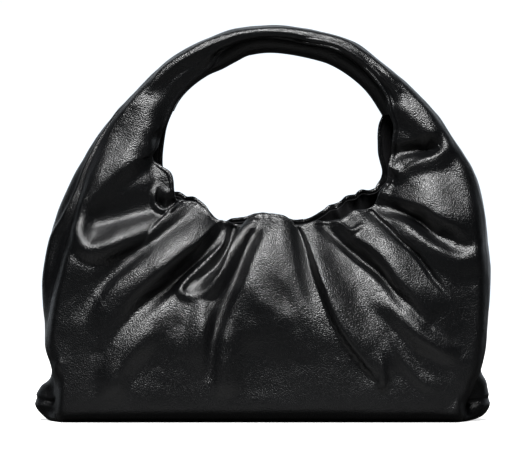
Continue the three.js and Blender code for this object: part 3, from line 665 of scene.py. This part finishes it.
def smooth_path(points, steps=6):
    """A smooth line through points: uniform Catmull-Rom cubics, whose slope at a point is half the
    way from the point before it to the one after. The ends are repeated."""
    knots = np.array([points[0], *points, points[-1]], float)
    k = np.linspace(0, 1, steps, endpoint=False)[:, None]
    parts = []
    for a, b, c, d in zip(knots[:-3], knots[1:-2], knots[2:-1], knots[3:]):
        parts.append(0.5 * (2 * b + (c - a) * k + (2 * a - 5 * b + 4 * c - d) * k ** 2
                            + (3 * b - a - 3 * c + d) * k ** 3))
    return np.concatenate([*parts, knots[-1:]])


def fall_off(near, crisp):
    """Height across a fold at a share of its width: half of 1 plus the cosine of a half turn, mixed
    by its crispness with 1 less the squared share, to a power that leaves a steep end."""
    steep = 0.75
    near = np.clip(near, 0, 1)
    return mix((1 + np.cos(math.pi * near)) / 2, (1 - near ** 2) ** steep, crisp)


def fold_height(fold, place):
    """Height of one fold over front view places: its height at the nearest point of its path, times
    the fall-off at the distance from there, by the width of the side the place is on."""
    points = smooth_path(fold["path"]) * (BAG_WIDTH / 2, BAG_HEIGHT, FOLD_RELIEF)
    widest = RIM_HEIGHT * max(fold["left"], fold["right"])
    low = points[:, :2].min(0) - widest
    high = points[:, :2].max(0) + widest
    close = ((place > low) & (place < high)).all(-1)
    spots = place[close]
    best = np.full(len(spots), np.inf)
    height = np.zeros(len(spots))
    turn = np.zeros(len(spots))
    for a, b in zip(points[:-1], points[1:]):
        step = b[:2] - a[:2]
        offset = spots - a[:2]
        k = np.clip(offset @ step / (step @ step), 0, 1)
        distance = np.linalg.norm(offset - k[:, None] * step, axis=-1)
        nearer = distance < best
        best = np.where(nearer, distance, best)
        height = np.where(nearer, mix(a[2], b[2], k), height)
        turn = np.where(nearer, step[0] * offset[:, 1] - step[1] * offset[:, 0], turn)
    on_left = turn > 0
    width = RIM_HEIGHT * np.where(on_left, fold["left"], fold["right"])
    crisp = np.where(on_left, fold["crisp_left"], fold["crisp_right"])
    total = np.zeros(place.shape[:-1])
    total[close] = height * fall_off(best / width, crisp)
    return total


def joined(forms, place):
    """Height of forms that meet in creases: the cube root of the sum of their cubes, so that the
    higher one wins."""
    power = 3
    return sum(fold_height(fold, place) ** power for fold in forms) ** (1 / power)


def raised(creases, place):
    """Height of creases laid over the forms: their sum."""
    return sum(fold_height(fold, place) for fold in creases)


def value_noise(points, seed):
    """Smooth random values between -1 and 1 over points of any dimension, one cell per unit.

    A cell's corners have random values, which repeat after a number of cells. Inside, they are
    blended by products of smooth steps.
    """
    cells = 32
    lattice = np.random.default_rng(seed).uniform(-1, 1, (cells,) * points.shape[-1])
    cell = np.floor(points).astype(int)
    k = rise(points - cell)
    total = np.zeros(points.shape[:-1])
    for corner in np.ndindex((2,) * points.shape[-1]):
        share = np.prod(np.where(np.array(corner) == 1, k, 1 - k), -1)
        total += share * lattice[tuple(np.moveaxis((cell + corner) % cells, -1, 0))]
    return total


def unevenness(points):
    """Soft hollows and fine wrinkles of worn leather: noise of each cell size times its height, with
    a smooth step to 0 where the bag rests."""
    total = 0.0
    for seed, (size, height) in enumerate(WORN_CELLS):
        total = total + height * value_noise(points / size, seed)
    return total * rise((points[..., 2] - CALM_HEIGHT) / CALM_FADE)


def gathers(at, across, seed):
    """Streaks that run down from the rim, as the thread draws it in: noise over station and row, at
    bent stations, with smooth steps to 0 down the hide and past both ends of the mouth."""
    down = np.minimum(across, BACK_END - across)
    bent = at + STREAK_BEND * value_noise(np.stack([at / BEND_WIDTH, down * BEND_CHANGE], -1), seed)
    total = 0.0
    for number, (height, width, change, reach) in enumerate(STREAKS, 1):
        streak = value_noise(np.stack([bent / width, down * change], -1), seed + number)
        total = total + height * streak * rise(1 - down / reach)
    return rise((at + DRAWN_END) / DRAWN_FADE) * rise((DRAWN_END - at) / DRAWN_FADE) * total


def waver(place):
    """Sideways wandering of the folds' lines, so that none runs quite smoothly: noise in x and z."""
    return WAVER * np.stack([value_noise(place / WAVER_CELL, seed) for seed in WAVER_SEEDS], -1)


def lift(at, across):
    """Height of all folds over the skin: forms, creases, streaks, the seam's lip and unevenness.

    Smooth steps fade the folds of the pouch towards the outer seams and past the handle's roots.
    """
    front = across < MIDDLE
    down = np.where(front, across, BACK_END - across)
    points = skin(at, across)
    place = points[..., [0, 2]] + waver(points[..., [0, 2]])
    turn = np.where(at > FULL_TURN / 2, at - FULL_TURN, at)
    root = rise((turn - HANDLE_ROOT_LEFT + ROOT_FADE) / ROOT_FADE) \
        * rise((HANDLE_ROOT_RIGHT + ROOT_FADE - turn) / ROOT_FADE)
    total = np.zeros(place.shape[:-1])
    on_side = down > 1
    if on_side.any():
        total += np.where(on_side, raised(SIDE_CREASES, place) * rise((down - 1) / SIDE_FADE), 0)
    front, back = front & ~on_side, ~front & ~on_side
    fade = rise((1 - down) / SEAM_FADE)
    if front.any():
        pouch = (joined(FRONT_FORMS, place) + raised(FRONT_CREASES, place)) * root
        handle = joined(HANDLE_FORMS, place)
        total += np.where(front, (pouch + handle + gathers(turn, across, FRONT_SEED)) * fade, 0)
    if back.any():
        pouch = (joined(BACK_FORMS, place) + raised(BACK_CREASES, place)) * root
        total += np.where(back, (pouch + gathers(turn, across, BACK_SEED)) * fade, 0)
    lip = SEAM_LIP * rise((down - LIP_START) / LIP_FADE) * (down <= 1) * (1 - seam_level(turn)) * root
    return total + lip + unevenness(points)


def placed(name, data):
    """A new object in the scene, at the origin."""
    thing = bpy.data.objects.new(name, data)
    bpy.context.scene.collection.objects.link(thing)
    return thing


def closed_wall(name, outer, inner):
    """A closed mesh between two grids of points, joined by a strip round their edge."""
    rows, columns = outer.shape[:2]
    points = np.concatenate([outer.reshape(-1, 3), inner.reshape(-1, 3)])
    number = np.arange(rows * columns).reshape(rows, columns)
    far = number + rows * columns

    def quads(a, b, c, d):
        return np.stack([a, b, c, d], -1).reshape(-1, 4)

    faces = np.concatenate([
        quads(number[:-1, :-1], number[1:, :-1], number[1:, 1:], number[:-1, 1:]),
        quads(far[:-1, :-1], far[:-1, 1:], far[1:, 1:], far[1:, :-1]),
        quads(far[0, :-1], number[0, :-1], number[0, 1:], far[0, 1:]),
        quads(far[-1, :-1], far[-1, 1:], number[-1, 1:], number[-1, :-1]),
        quads(far[:-1, 0], far[1:, 0], number[1:, 0], number[:-1, 0]),
        quads(far[:-1, -1], number[:-1, -1], number[1:, -1], far[1:, -1]),
    ])
    mesh = bpy.data.meshes.new(name)
    mesh.from_pydata(points.tolist(), [], faces.tolist())
    mesh.polygons.foreach_set("use_smooth", np.ones(len(faces), bool))
    on_rim = np.zeros(len(points), bool)
    for ring in (number, far):
        on_rim[np.concatenate([ring[0], ring[-1], ring[:, 0], ring[:, -1]])] = True
    ends = np.empty(len(mesh.edges) * 2, np.int32)
    mesh.edges.foreach_get("vertices", ends)
    ends = ends.reshape(-1, 2)
    same_grid = (ends[:, 0] < rows * columns) == (ends[:, 1] < rows * columns)
    sharp = on_rim[ends].all(axis=1) & same_grid
    mesh.attributes.new("sharp_edge", "BOOLEAN", "EDGE").data.foreach_set("value", sharp)
    mesh.update()
    return placed(name, mesh)


def hide_grid(stations, rows, seams, ends):
    """Raised points of a hide and the normals its wall is measured along.

    Its outer rows stop short of a seam and its end columns short of their ends, by half the gap.
    The folds stand square to the wall, so the rolled rim moves with them as it is.
    """
    at, row = np.meshgrid(stations, rows)
    probe = 0.01
    pace = np.linalg.norm(skin(at + probe, row) - skin(at - probe, row), axis=-1) / (2 * probe)
    half = SEAM_GAP / 2 / pace
    at = at.copy()
    at[:, 0] += half[:, 0] * ends[0]
    at[:, -1] -= half[:, -1] * ends[1]
    across = row.copy()
    for line, way, cut in ((0, 1, seams[0]), (-1, -1, seams[1])):
        if cut:
            step = skin(at[line], across[line] + way * probe) - skin(at[line], across[line])
            across[line] += way * SEAM_GAP / 2 * probe / np.linalg.norm(step, axis=-1)
    wall = np.where(row < MIDDLE, np.maximum(across, ROLL_END), np.minimum(across, BACK_END - ROLL_END))
    return skin(at, across) + skin_normal(at, wall) * lift(at, across)[..., None], skin_normal(at, row)


def hide(name, stations, rows, seams=(True, True), ends=(1, 1), inset=0.0, wall=LEATHER):
    """A hide over a patch of the skin: its outer grid lies the inset below the raised skin, and its
    inner grid the wall further in, both along the skin's normals."""
    points, normals = hide_grid(stations, rows, seams, ends)
    return closed_wall(name, points - normals * inset, points - normals * (inset + wall))


def even_stations(start, end, count):
    """Stations spaced evenly in metres, measured along the rim and along a row of the wall and
    summed, instead of evenly in degrees."""
    samples = 2000
    wall_row = 0.7
    fine = np.linspace(start, end, samples)
    points = skin(fine, np.full_like(fine, wall_row))
    rim = skin(fine, np.zeros_like(fine))
    steps = np.linalg.norm(np.diff(points, axis=0), axis=1) + np.linalg.norm(np.diff(rim, axis=0), axis=1)
    length = np.concatenate([[0], np.cumsum(steps)])
    return np.interp(np.linspace(0, length[-1], count + 1), length, fine)


def wall_rows(count):
    """Rows from rim to seam: the turned edges have steps of their own."""
    roll_steps = 6
    edge_steps = 14
    roll = np.linspace(0, ROLL_END, roll_steps + 1)
    edge = np.linspace(EDGE_START, 1, edge_steps + 1)
    return np.concatenate([roll[:-1], np.linspace(ROLL_END, EDGE_START, count + 1), edge[1:]])


def backward(rows):
    """Front rows as the matching back rows."""
    return (BACK_END - rows)[::-1]


def inner_band(name, stations):
    """The strip that closes the handle: half an ellipse from front edge round to back edge, its
    depth with the sine of the angle and its front view place with 1 less the cosine."""
    depth = RIM_DEPTH - SEAM_GAP
    turn, at = np.meshgrid(np.linspace(1, -1, STRIP_ROWS + 1), stations, indexing="ij")
    angle = turn * math.pi / 2
    underside = loop_point("front", at)
    outward = unit(outline_point(SEAM, at) - underside)
    edge = np.where((turn < 0)[..., None], rim_point("front", at), rim_point("back", at))

    def grid(inset):
        place = mix(underside, edge, (1 - np.cos(angle))[..., None]) \
            + outward * (inset * np.cos(angle))[..., None]
        return np.stack([place[..., 0], (depth - inset) * np.sin(angle), place[..., 1]], -1)

    return closed_wall(name, grid(0), grid(LEATHER))


# Pieces
pouch_stations = even_stations(HANDLE_ROOT_LEFT, HANDLE_ROOT_RIGHT, FRONT_COLUMNS)
back_stations = even_stations(HANDLE_ROOT_LEFT, HANDLE_ROOT_RIGHT, BACK_COLUMNS)
handle_stations = even_stations(HANDLE_ROOT_RIGHT, HANDLE_ROOT_LEFT + FULL_TURN, HANDLE_COLUMNS)
front_rows = wall_rows(FRONT_ROWS)
back_rows = backward(wall_rows(BACK_ROWS))
side_rows = np.linspace(FRONT_SEAM, BACK_SEAM, SIDE_ROWS + 1)
handle_wall = wall_rows(HANDLE_ROWS)
handle_rows = np.concatenate([handle_wall[:-1], side_rows[:-1], backward(handle_wall)])
lowest = np.array(0.0)
front_length = float(np.linalg.norm(rim_point("front", lowest) - outline_point(SEAM, lowest)))
facing_rows = np.linspace(ROLL_END, ROLL_END + FACING_DROP / front_length, FACING_ROWS + 1)
facing_inset = LEATHER + FACING_CLEARANCE


def side(name, start, end, count, ends=(1, 1)):
    """A hide between the front and back seams, over evenly spaced stations."""
    return hide(name, np.linspace(start, end, count + 1), side_rows, ends=ends)


def facing(name, rows):
    """A facing inside the mouth's rim: a strip of the skin, under the leather of its panel."""
    return hide(name, pouch_stations, rows, seams=(False, False), inset=facing_inset, wall=FACING)


pieces = {
    "front_panel": hide("front_hide", pouch_stations, front_rows, seams=(False, True), ends=(0, 0)),
    "back_panel": hide("back_hide", back_stations, back_rows, seams=(True, False), ends=(0, 0)),
    "gusset_left": side("side_hide_left", HANDLE_ROOT_LEFT, PINCH_LEFT, GUSSET_COLUMNS, ends=(0, 1)),
    "gusset_right": side("side_hide_right", PINCH_RIGHT, HANDLE_ROOT_RIGHT, GUSSET_COLUMNS, ends=(1, 0)),
    "corner_fold_left": side("corner_hide_left", PINCH_LEFT, BASE_LEFT, CORNER_COLUMNS),
    "corner_fold_right": side("corner_hide_right", BASE_RIGHT, PINCH_RIGHT, CORNER_COLUMNS),
    "base_panel": side("base_hide", BASE_LEFT, BASE_RIGHT, BASE_COLUMNS),
    "handle": hide("handle_hide", handle_stations, handle_rows, seams=(False, False), ends=(0, 0)),
    "handle_inner_band": inner_band("handle_strip", handle_stations),
    "mouth_facing_front": facing("facing_front", facing_rows),
    "mouth_facing_back": facing("facing_back", backward(facing_rows)),
}


def mesh_points(mesh):
    """A mesh's points as an array."""
    points = np.empty(len(mesh.vertices) * 3)
    mesh.vertices.foreach_get("co", points)
    return points.reshape(-1, 3)


def settle(parts):
    """Moves the pieces so that their base lies where the frame's base lies: centre on centre, and
    lowest point on lowest point."""
    base = mesh_points(parts["base_panel"].data)
    low = base.min(0)
    high = base.max(0)
    cad_low, cad_high = (np.array(corner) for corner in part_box("base_panel"))
    shift = (cad_low + cad_high - low - high) / 2
    shift[2] = cad_low[2] - low[2]
    for piece in parts.values():
        mesh = piece.data
        mesh.vertices.foreach_set("co", (mesh_points(mesh) + shift).ravel())
        mesh.update()


settle(pieces)


def node_group(name, inputs, outputs):
    """An empty shader node group with named float inputs and outputs."""
    group = bpy.data.node_groups.new(name, "ShaderNodeTree")
    for label, value in inputs.items():
        socket = group.interface.new_socket(label, in_out="INPUT", socket_type="NodeSocketFloat")
        socket.default_value = value
    for label in outputs:
        group.interface.new_socket(label, in_out="OUTPUT", socket_type="NodeSocketFloat")
    return group, group.nodes.new("NodeGroupInput"), group.nodes.new("NodeGroupOutput")


def math_node(tree, operation, a, b):
    """A math node with its two inputs linked or set."""
    node = tree.nodes.new("ShaderNodeMath")
    node.operation = operation
    for socket, value in zip(node.inputs, (a, b)):
        if isinstance(value, (int, float)):
            socket.default_value = value
        else:
            tree.links.new(value, socket)
    return node.outputs[0]


def grain_group():
    """Leather grain: pebbles from cells warped by noise, over soft uneven patches.

    Height is 1 less the distance to the middle of the nearest cell, plus a share of fine noise.
    """
    warp_reach = 0.0012
    fine_share = 0.35
    group, ins, outs = node_group("leather_grain", {"Pebble": 900.0, "Patch": 14.0}, ["Height", "Patches"])
    place = group.nodes.new("ShaderNodeTexCoord").outputs["Object"]
    warp = group.nodes.new("ShaderNodeTexNoise")
    warp.inputs["Scale"].default_value = 260.0
    warp.inputs["Detail"].default_value = 2.0
    group.links.new(place, warp.inputs["Vector"])
    shift = group.nodes.new("ShaderNodeVectorMath")
    shift.operation = "MULTIPLY_ADD"
    shift.inputs[1].default_value = (warp_reach, warp_reach, warp_reach)
    group.links.new(warp.outputs["Color"], shift.inputs[0])
    group.links.new(place, shift.inputs[2])
    cells = group.nodes.new("ShaderNodeTexVoronoi")
    cells.feature = "SMOOTH_F1"
    cells.inputs["Smoothness"].default_value = 0.45
    group.links.new(shift.outputs[0], cells.inputs["Vector"])
    group.links.new(ins.outputs["Pebble"], cells.inputs["Scale"])
    fine = group.nodes.new("ShaderNodeTexNoise")
    fine.inputs["Scale"].default_value = 1500.0
    fine.inputs["Detail"].default_value = 3.0
    group.links.new(place, fine.inputs["Vector"])
    patches = group.nodes.new("ShaderNodeTexNoise")
    patches.inputs["Detail"].default_value = 4.0
    group.links.new(place, patches.inputs["Vector"])
    group.links.new(ins.outputs["Patch"], patches.inputs["Scale"])
    pebble = math_node(group, "SUBTRACT", 1.0, cells.outputs["Distance"])
    height = math_node(group, "ADD", pebble, math_node(group, "MULTIPLY", fine.outputs["Fac"], fine_share))
    group.links.new(height, outs.inputs["Height"])
    group.links.new(patches.outputs["Fac"], outs.inputs["Patches"])
    return group


def ranged(tree, value, low, high, start=0.0, end=1.0):
    """Low where a value is at start or before, high at end or past it, a smooth step between."""
    node = tree.nodes.new("ShaderNodeMapRange")
    node.interpolation_type = "SMOOTHSTEP"
    node.inputs["From Min"].default_value = start
    node.inputs["From Max"].default_value = end
    node.inputs["To Min"].default_value = low
    node.inputs["To Max"].default_value = high
    tree.links.new(value, node.inputs["Value"])
    return node.outputs["Result"]


def leather(name, dark, light, rough, grain_depth, grain):
    """Black leather: nearly black with a little variation, satin, and pebbled by its grain. Patches
    take its colour from dark to light and its roughness between the two given."""
    material = bpy.data.materials.new(name)
    material.use_nodes = True
    tree = material.node_tree
    shader = tree.nodes["Principled BSDF"]
    texture = tree.nodes.new("ShaderNodeGroup")
    texture.node_tree = grain
    patches = texture.outputs["Patches"]
    tone = tree.nodes.new("ShaderNodeMix")
    tone.data_type = "RGBA"
    tone.inputs[6].default_value = (*dark, 1)
    tone.inputs[7].default_value = (*light, 1)
    tree.links.new(patches, tone.inputs[0])
    tree.links.new(tone.outputs[2], shader.inputs["Base Color"])
    tree.links.new(ranged(tree, patches, *rough), shader.inputs["Roughness"])
    bump = tree.nodes.new("ShaderNodeBump")
    bump.inputs["Strength"].default_value = 0.5
    bump.inputs["Distance"].default_value = grain_depth
    tree.links.new(texture.outputs["Height"], bump.inputs["Height"])
    tree.links.new(bump.outputs["Normal"], shader.inputs["Normal"])
    shader.inputs["Specular IOR Level"].default_value = 0.5
    return material


grain = grain_group()
black_leather = leather("black_leather", dark=(0.0017, 0.0019, 0.0023), light=(0.0032, 0.0035, 0.0041),
                        rough=(0.26, 0.38), grain_depth=0.0007, grain=grain)
# The facings' leather is several times lighter than the outer black leather: painted light that brightens
# the shaded inside of the mouth.
inner_leather = leather("inner_leather", dark=(0.010, 0.010, 0.011), light=(0.018, 0.018, 0.019),
                        rough=(0.36, 0.46), grain_depth=0.0004, grain=grain)

for node, piece in pieces.items():
    inside = node.startswith("mouth_facing")
    # Facings take the lighter leather, whose colour is painted light in the shaded mouth.
    piece.data.materials.append(inner_leather if inside else black_leather)
    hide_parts(node)
    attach(piece, "root")


def floor():
    """A white floor. The camera sees it white but for the bag's soft shadow. To the bag its colour is
    painted
    light and shade: dim, with a painted shadow at its edge, a painted strip of light before it, and fading
    out further off."""
    reach = 8.0
    mesh = bpy.data.meshes.new("floor")
    mesh.from_pydata([(-reach, -reach, 0), (reach, -reach, 0), (reach, reach, 0), (-reach, reach, 0)],
                     [], [(0, 1, 2, 3)])
    plane = placed("floor", mesh)
    paint = bpy.data.materials.new("white_floor")
    paint.use_nodes = True
    tree = paint.node_tree
    shader = tree.nodes["Principled BSDF"]
    shader.inputs["Roughness"].default_value = 0.9
    shader.inputs["Specular IOR Level"].default_value = 0.0
    shader.inputs["Emission Color"].default_value = (1, 1, 1, 1)
    path = tree.nodes.new("ShaderNodeLightPath")
    place = tree.nodes.new("ShaderNodeTexCoord").outputs["Object"]
    distance = tree.nodes.new("ShaderNodeVectorMath")
    distance.operation = "LENGTH"
    tree.links.new(place, distance.inputs[0])
    glow = ranged(tree, distance.outputs["Value"], FLOOR_GLOW, 1.0, *GLOW_FADE)
    seen = math_node(tree, "MULTIPLY", glow, path.outputs["Is Camera Ray"])
    tree.links.new(seen, shader.inputs["Emission Strength"])
    split = tree.nodes.new("ShaderNodeSeparateXYZ")
    tree.links.new(place, split.inputs[0])
    ahead = math_node(tree, "MULTIPLY", split.outputs["Y"], -1.0)
    # The floor's colour as the bag sees it is painted: a painted shadow at its edge, a painted strip of
    # light, and painted dimness beyond and further off.
    near = ranged(tree, ahead, FLOOR_PAINTED_SHADOW, FLOOR_PAINTED_LIGHT_STRIP, *EDGE_FADE)
    beyond = ranged(tree, ahead, 0.0, FLOOR_PAINTED_SHADE - FLOOR_PAINTED_LIGHT_STRIP, *STRIP_FADE)
    far = ranged(tree, ahead, 1.0, FLOOR_FAR_SHARE, *FAR_FADE)
    painted_light_and_shade = math_node(tree, "MULTIPLY", math_node(tree, "ADD", near, beyond), far)
    seen_white = math_node(tree, "MULTIPLY", path.outputs["Is Camera Ray"], FLOOR_SEEN)
    # The camera sees the floor white; all other rays see the painted light and shade.
    tree.links.new(math_node(tree, "MAXIMUM", painted_light_and_shade, seen_white), shader.inputs["Base Color"])
    mesh.materials.append(paint)


def softbox(name, place, aim, size, watts):
    """A rectangular area light at a place, turned to face the aim."""
    data = bpy.data.lights.new(name, "AREA")
    data.shape = "RECTANGLE"
    data.size, data.size_y = size
    data.energy = watts
    lamp = placed(name, data)
    lamp.location = place
    direction = Vector(np.array(aim) - np.array(place))
    lamp.rotation_euler = direction.to_track_quat("-Z", "Y").to_euler()


def studio():
    """White surround behind and beside the bag, a dim card round the camera, darkness between, and
    one softbox high in front. To the camera the surround is white all round."""
    world = bpy.data.worlds.new("studio")
    bpy.context.scene.world = world
    world.use_nodes = True
    tree = world.node_tree
    background = tree.nodes["Background"]
    coordinates = tree.nodes.new("ShaderNodeTexCoord")
    split = tree.nodes.new("ShaderNodeSeparateXYZ")
    tree.links.new(coordinates.outputs["Generated"], split.inputs[0])
    behind = ranged(tree, split.outputs["Y"], SURROUND_DARK, SURROUND_WHITE, *BACKDROP_FADE)
    path = tree.nodes.new("ShaderNodeLightPath")
    card = ranged(tree, split.outputs["Y"], FRONT_CARD, 0.0, *CARD_FADE)
    around = math_node(tree, "ADD", behind, card)
    white = math_node(tree, "MULTIPLY", path.outputs["Is Camera Ray"], SURROUND_SEEN)
    seen = math_node(tree, "MAXIMUM", around, white)
    tree.links.new(seen, background.inputs["Strength"])
    background.inputs["Color"].default_value = (*SURROUND_COLOUR, 1)
    middle = (0, 0, BAG_HEIGHT / 2)
    softbox("top_box", LAMP_PLACE, middle, LAMP_SIZE, LAMP_WATTS)


def camera():
    """A long lens, level, at the height of the pouch's upper half."""
    data = bpy.data.cameras.new("camera")
    view = placed("camera", data)
    bpy.context.scene.camera = view
    distance = 2.6
    picture_width = 523
    picture_height = 451
    bag_pixels = 456
    bag_left, bag_floor = 35, 420
    eye_height = 0.14
    metres_per_pixel = BAG_WIDTH / bag_pixels
    frame_width = picture_width * metres_per_pixel
    data.sensor_width = 36
    data.lens = data.sensor_width * distance / frame_width
    view.location = (0, -distance, eye_height)
    view.rotation_euler = (math.pi / 2, 0, 0)
    middle_x = bag_left + bag_pixels / 2
    horizon_row = bag_floor - eye_height / metres_per_pixel
    data.shift_x = (picture_width / 2 - middle_x) / picture_width
    data.shift_y = (horizon_row - picture_height / 2) / picture_width


floor()
studio()
camera()
bpy.context.scene.view_settings.view_transform = "Standard"
bpy.context.scene.view_settings.gamma = VIEW_GAMMA
